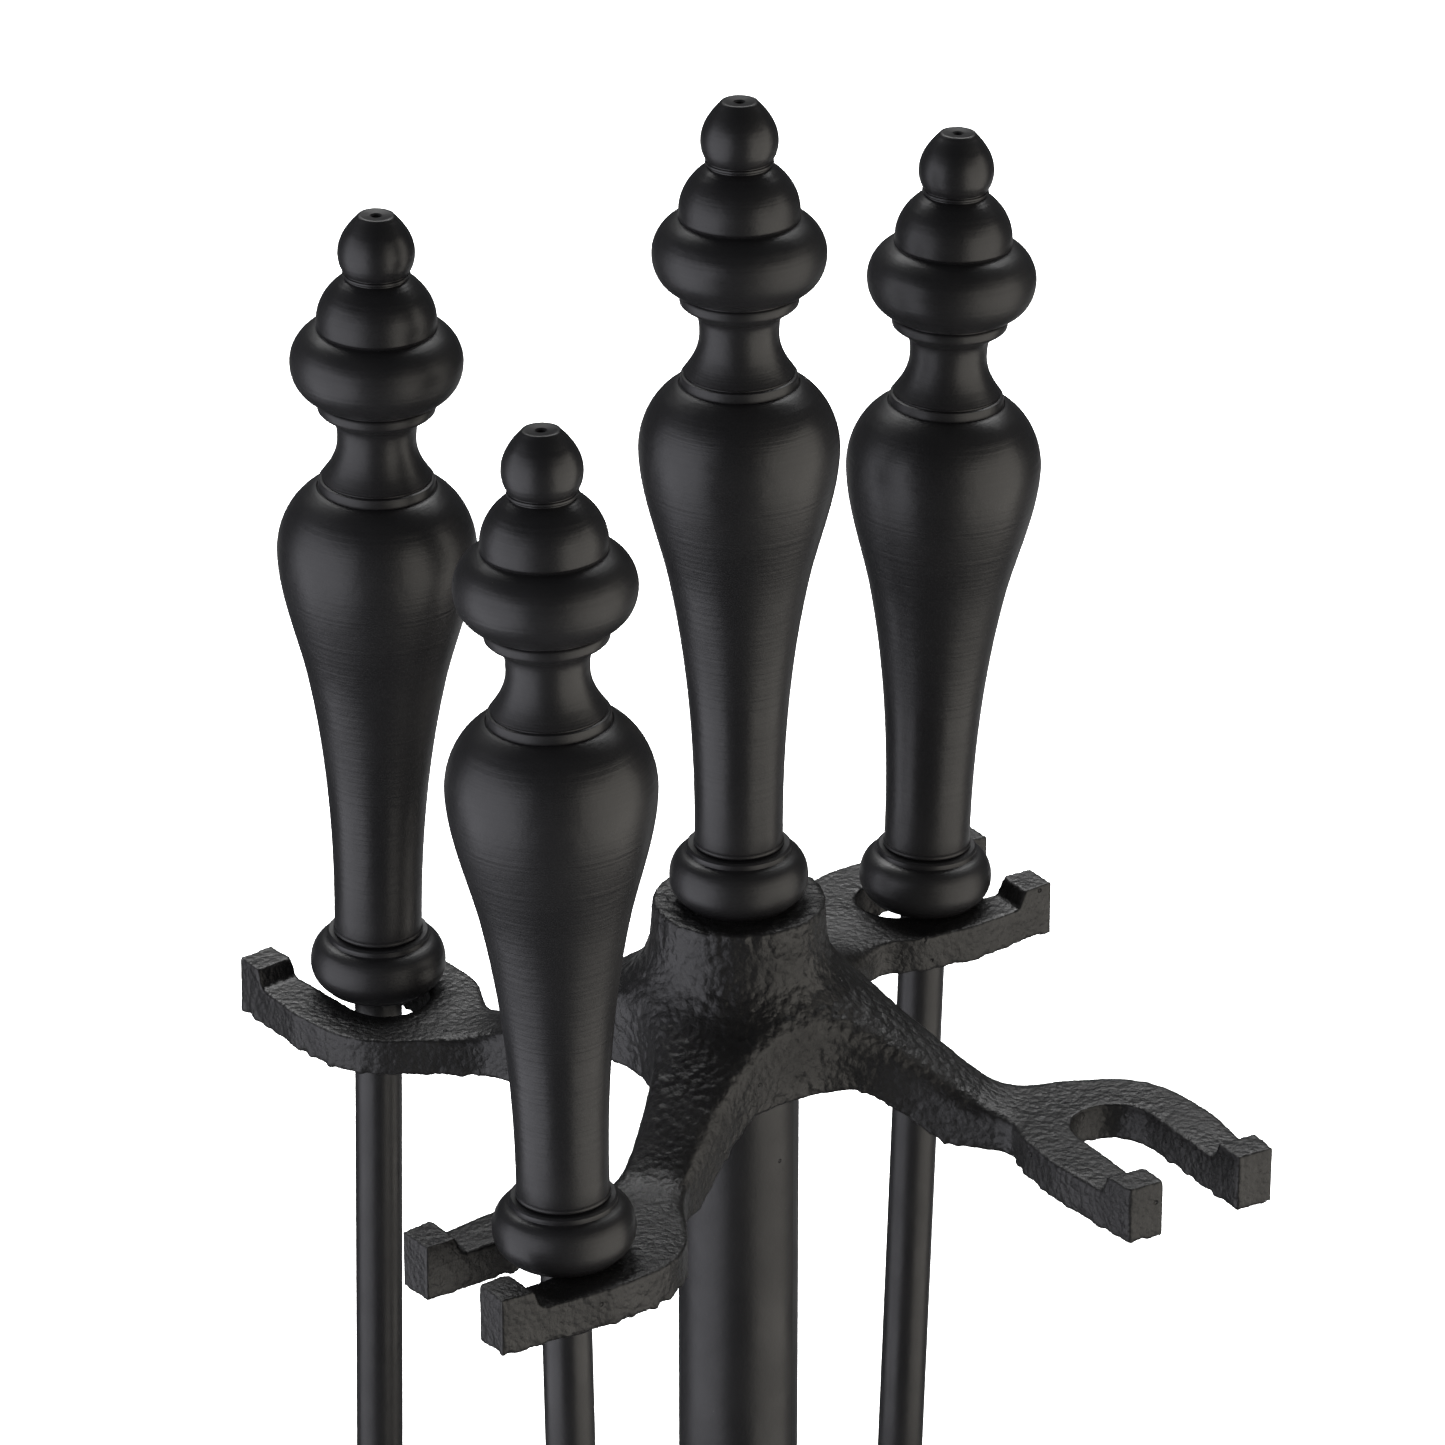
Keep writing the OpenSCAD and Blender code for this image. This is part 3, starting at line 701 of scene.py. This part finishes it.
def turn_to(obj, direction):
    """Turns a camera or a lamp to look along direction."""
    obj.rotation_mode = "QUATERNION"
    obj.rotation_quaternion = direction.to_track_quat("-Z", "Y")


def make_camera():
    """The camera at the photograph's viewing angle."""
    cam = new_object("camera", bpy.data.cameras.new("camera"))
    bpy.context.scene.camera = cam
    cam.data.sensor_width = VIEW_SENSOR
    cam.data.lens = VIEW_LENS
    cam.data.clip_end = 50
    back = view_direction(VIEW_AZIMUTH, VIEW_ELEVATION)
    right = view_direction(VIEW_AZIMUTH + 90, 0)
    handle_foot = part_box("finial_handle")[0].z
    aim = Vector((0, 0, handle_foot + VIEW_AIM_UP)) + right * VIEW_AIM_RIGHT
    cam.location = aim + back * VIEW_DISTANCE
    turn_to(cam, -back)


def make_floor():
    """A plain pale floor that glows a little, so that it is as pale from every side. The paint
    doesn't mirror it, as if the set stood on a dark table."""
    bm = bmesh.new()
    bmesh.ops.create_grid(bm, x_segments=8, y_segments=8, size=FLOOR_HALF)
    floor = new_object("floor", mesh_from(bm, "floor"))
    s = Shader("floor_paper", (0.86, 0.86, 0.86), 0.75, specular=0.2)
    s.colour_from(s.noise(0.25, 2), (0.85, 0.85, 0.85), (0.88, 0.88, 0.88))
    s.bsdf.inputs["Emission Color"].default_value = (1, 1, 1, 1)
    s.bsdf.inputs["Emission Strength"].default_value = FLOOR_GLOW
    floor.data.materials.append(s.material)
    floor.visible_glossy = False


def softbox(name, azimuth, distance, height, size, power, tint=(1, 1, 1), spread=180):
    """A flat rectangular lamp at azimuth round the object, pointing level at the post."""
    light = bpy.data.lights.new(name, "AREA")
    light.shape = "RECTANGLE"
    light.size, light.size_y = size
    light.energy = power
    light.color = tint
    light.spread = math.radians(spread)
    obj = new_object(name, light)
    inwards = -view_direction(azimuth, 0)
    obj.location = Vector((0, 0, height)) - inwards * distance
    turn_to(obj, inwards)
    obj.visible_camera = False
    return obj


def make_lamps():
    """Two large lamps in front, a weak one under the set from behind, and a strong one that
    lights the floor behind it."""
    side = (SIDE_LAMP_AWAY, SIDE_LAMP_HEIGHT, (SIDE_LAMP, SIDE_LAMP))
    softbox("left_box", VIEW_AZIMUTH - 65, *side, power=12.5, tint=LEFT_TINT)
    softbox("right_box", VIEW_AZIMUTH + 66, *side, power=11.0, tint=RIGHT_TINT)
    rim = softbox("rim_light", BEHIND, distance=1.6, height=0.02, size=(2.4, 1.2), power=3.0)
    turn_to(rim, Vector((0, 0, 1)))
    back = softbox("backdrop_light", BEHIND, distance=1.5, height=1.9, size=(2.4, 1.6),
                   power=95, spread=120)
    turn_to(back, view_direction(BEHIND, 0) * BACKDROP_AWAY - back.location)


def make_world():
    """Dim light from all round. Where the camera looks past the floor it sees a pale grey."""
    world = bpy.data.worlds.new("studio")
    world.use_nodes = True
    nodes, links = world.node_tree.nodes, world.node_tree.links
    dim = nodes["Background"]
    dim.inputs["Color"].default_value = (0.9, 0.93, 1.0, 1)
    dim.inputs["Strength"].default_value = 0.05
    pale = nodes.new("ShaderNodeBackground")
    pale.inputs["Color"].default_value = (0.75, 0.75, 0.75, 1)
    mix = nodes.new("ShaderNodeMixShader")
    links.new(nodes.new("ShaderNodeLightPath").outputs["Is Camera Ray"], mix.inputs[0])
    links.new(dim.outputs["Background"], mix.inputs[1])
    links.new(pale.outputs["Background"], mix.inputs[2])
    links.new(mix.outputs["Shader"], nodes["World Output"].inputs["Surface"])
    bpy.context.scene.world = world
    bpy.context.scene.view_settings.view_transform = "Standard"


make_camera()
make_floor()
make_lamps()
make_world()
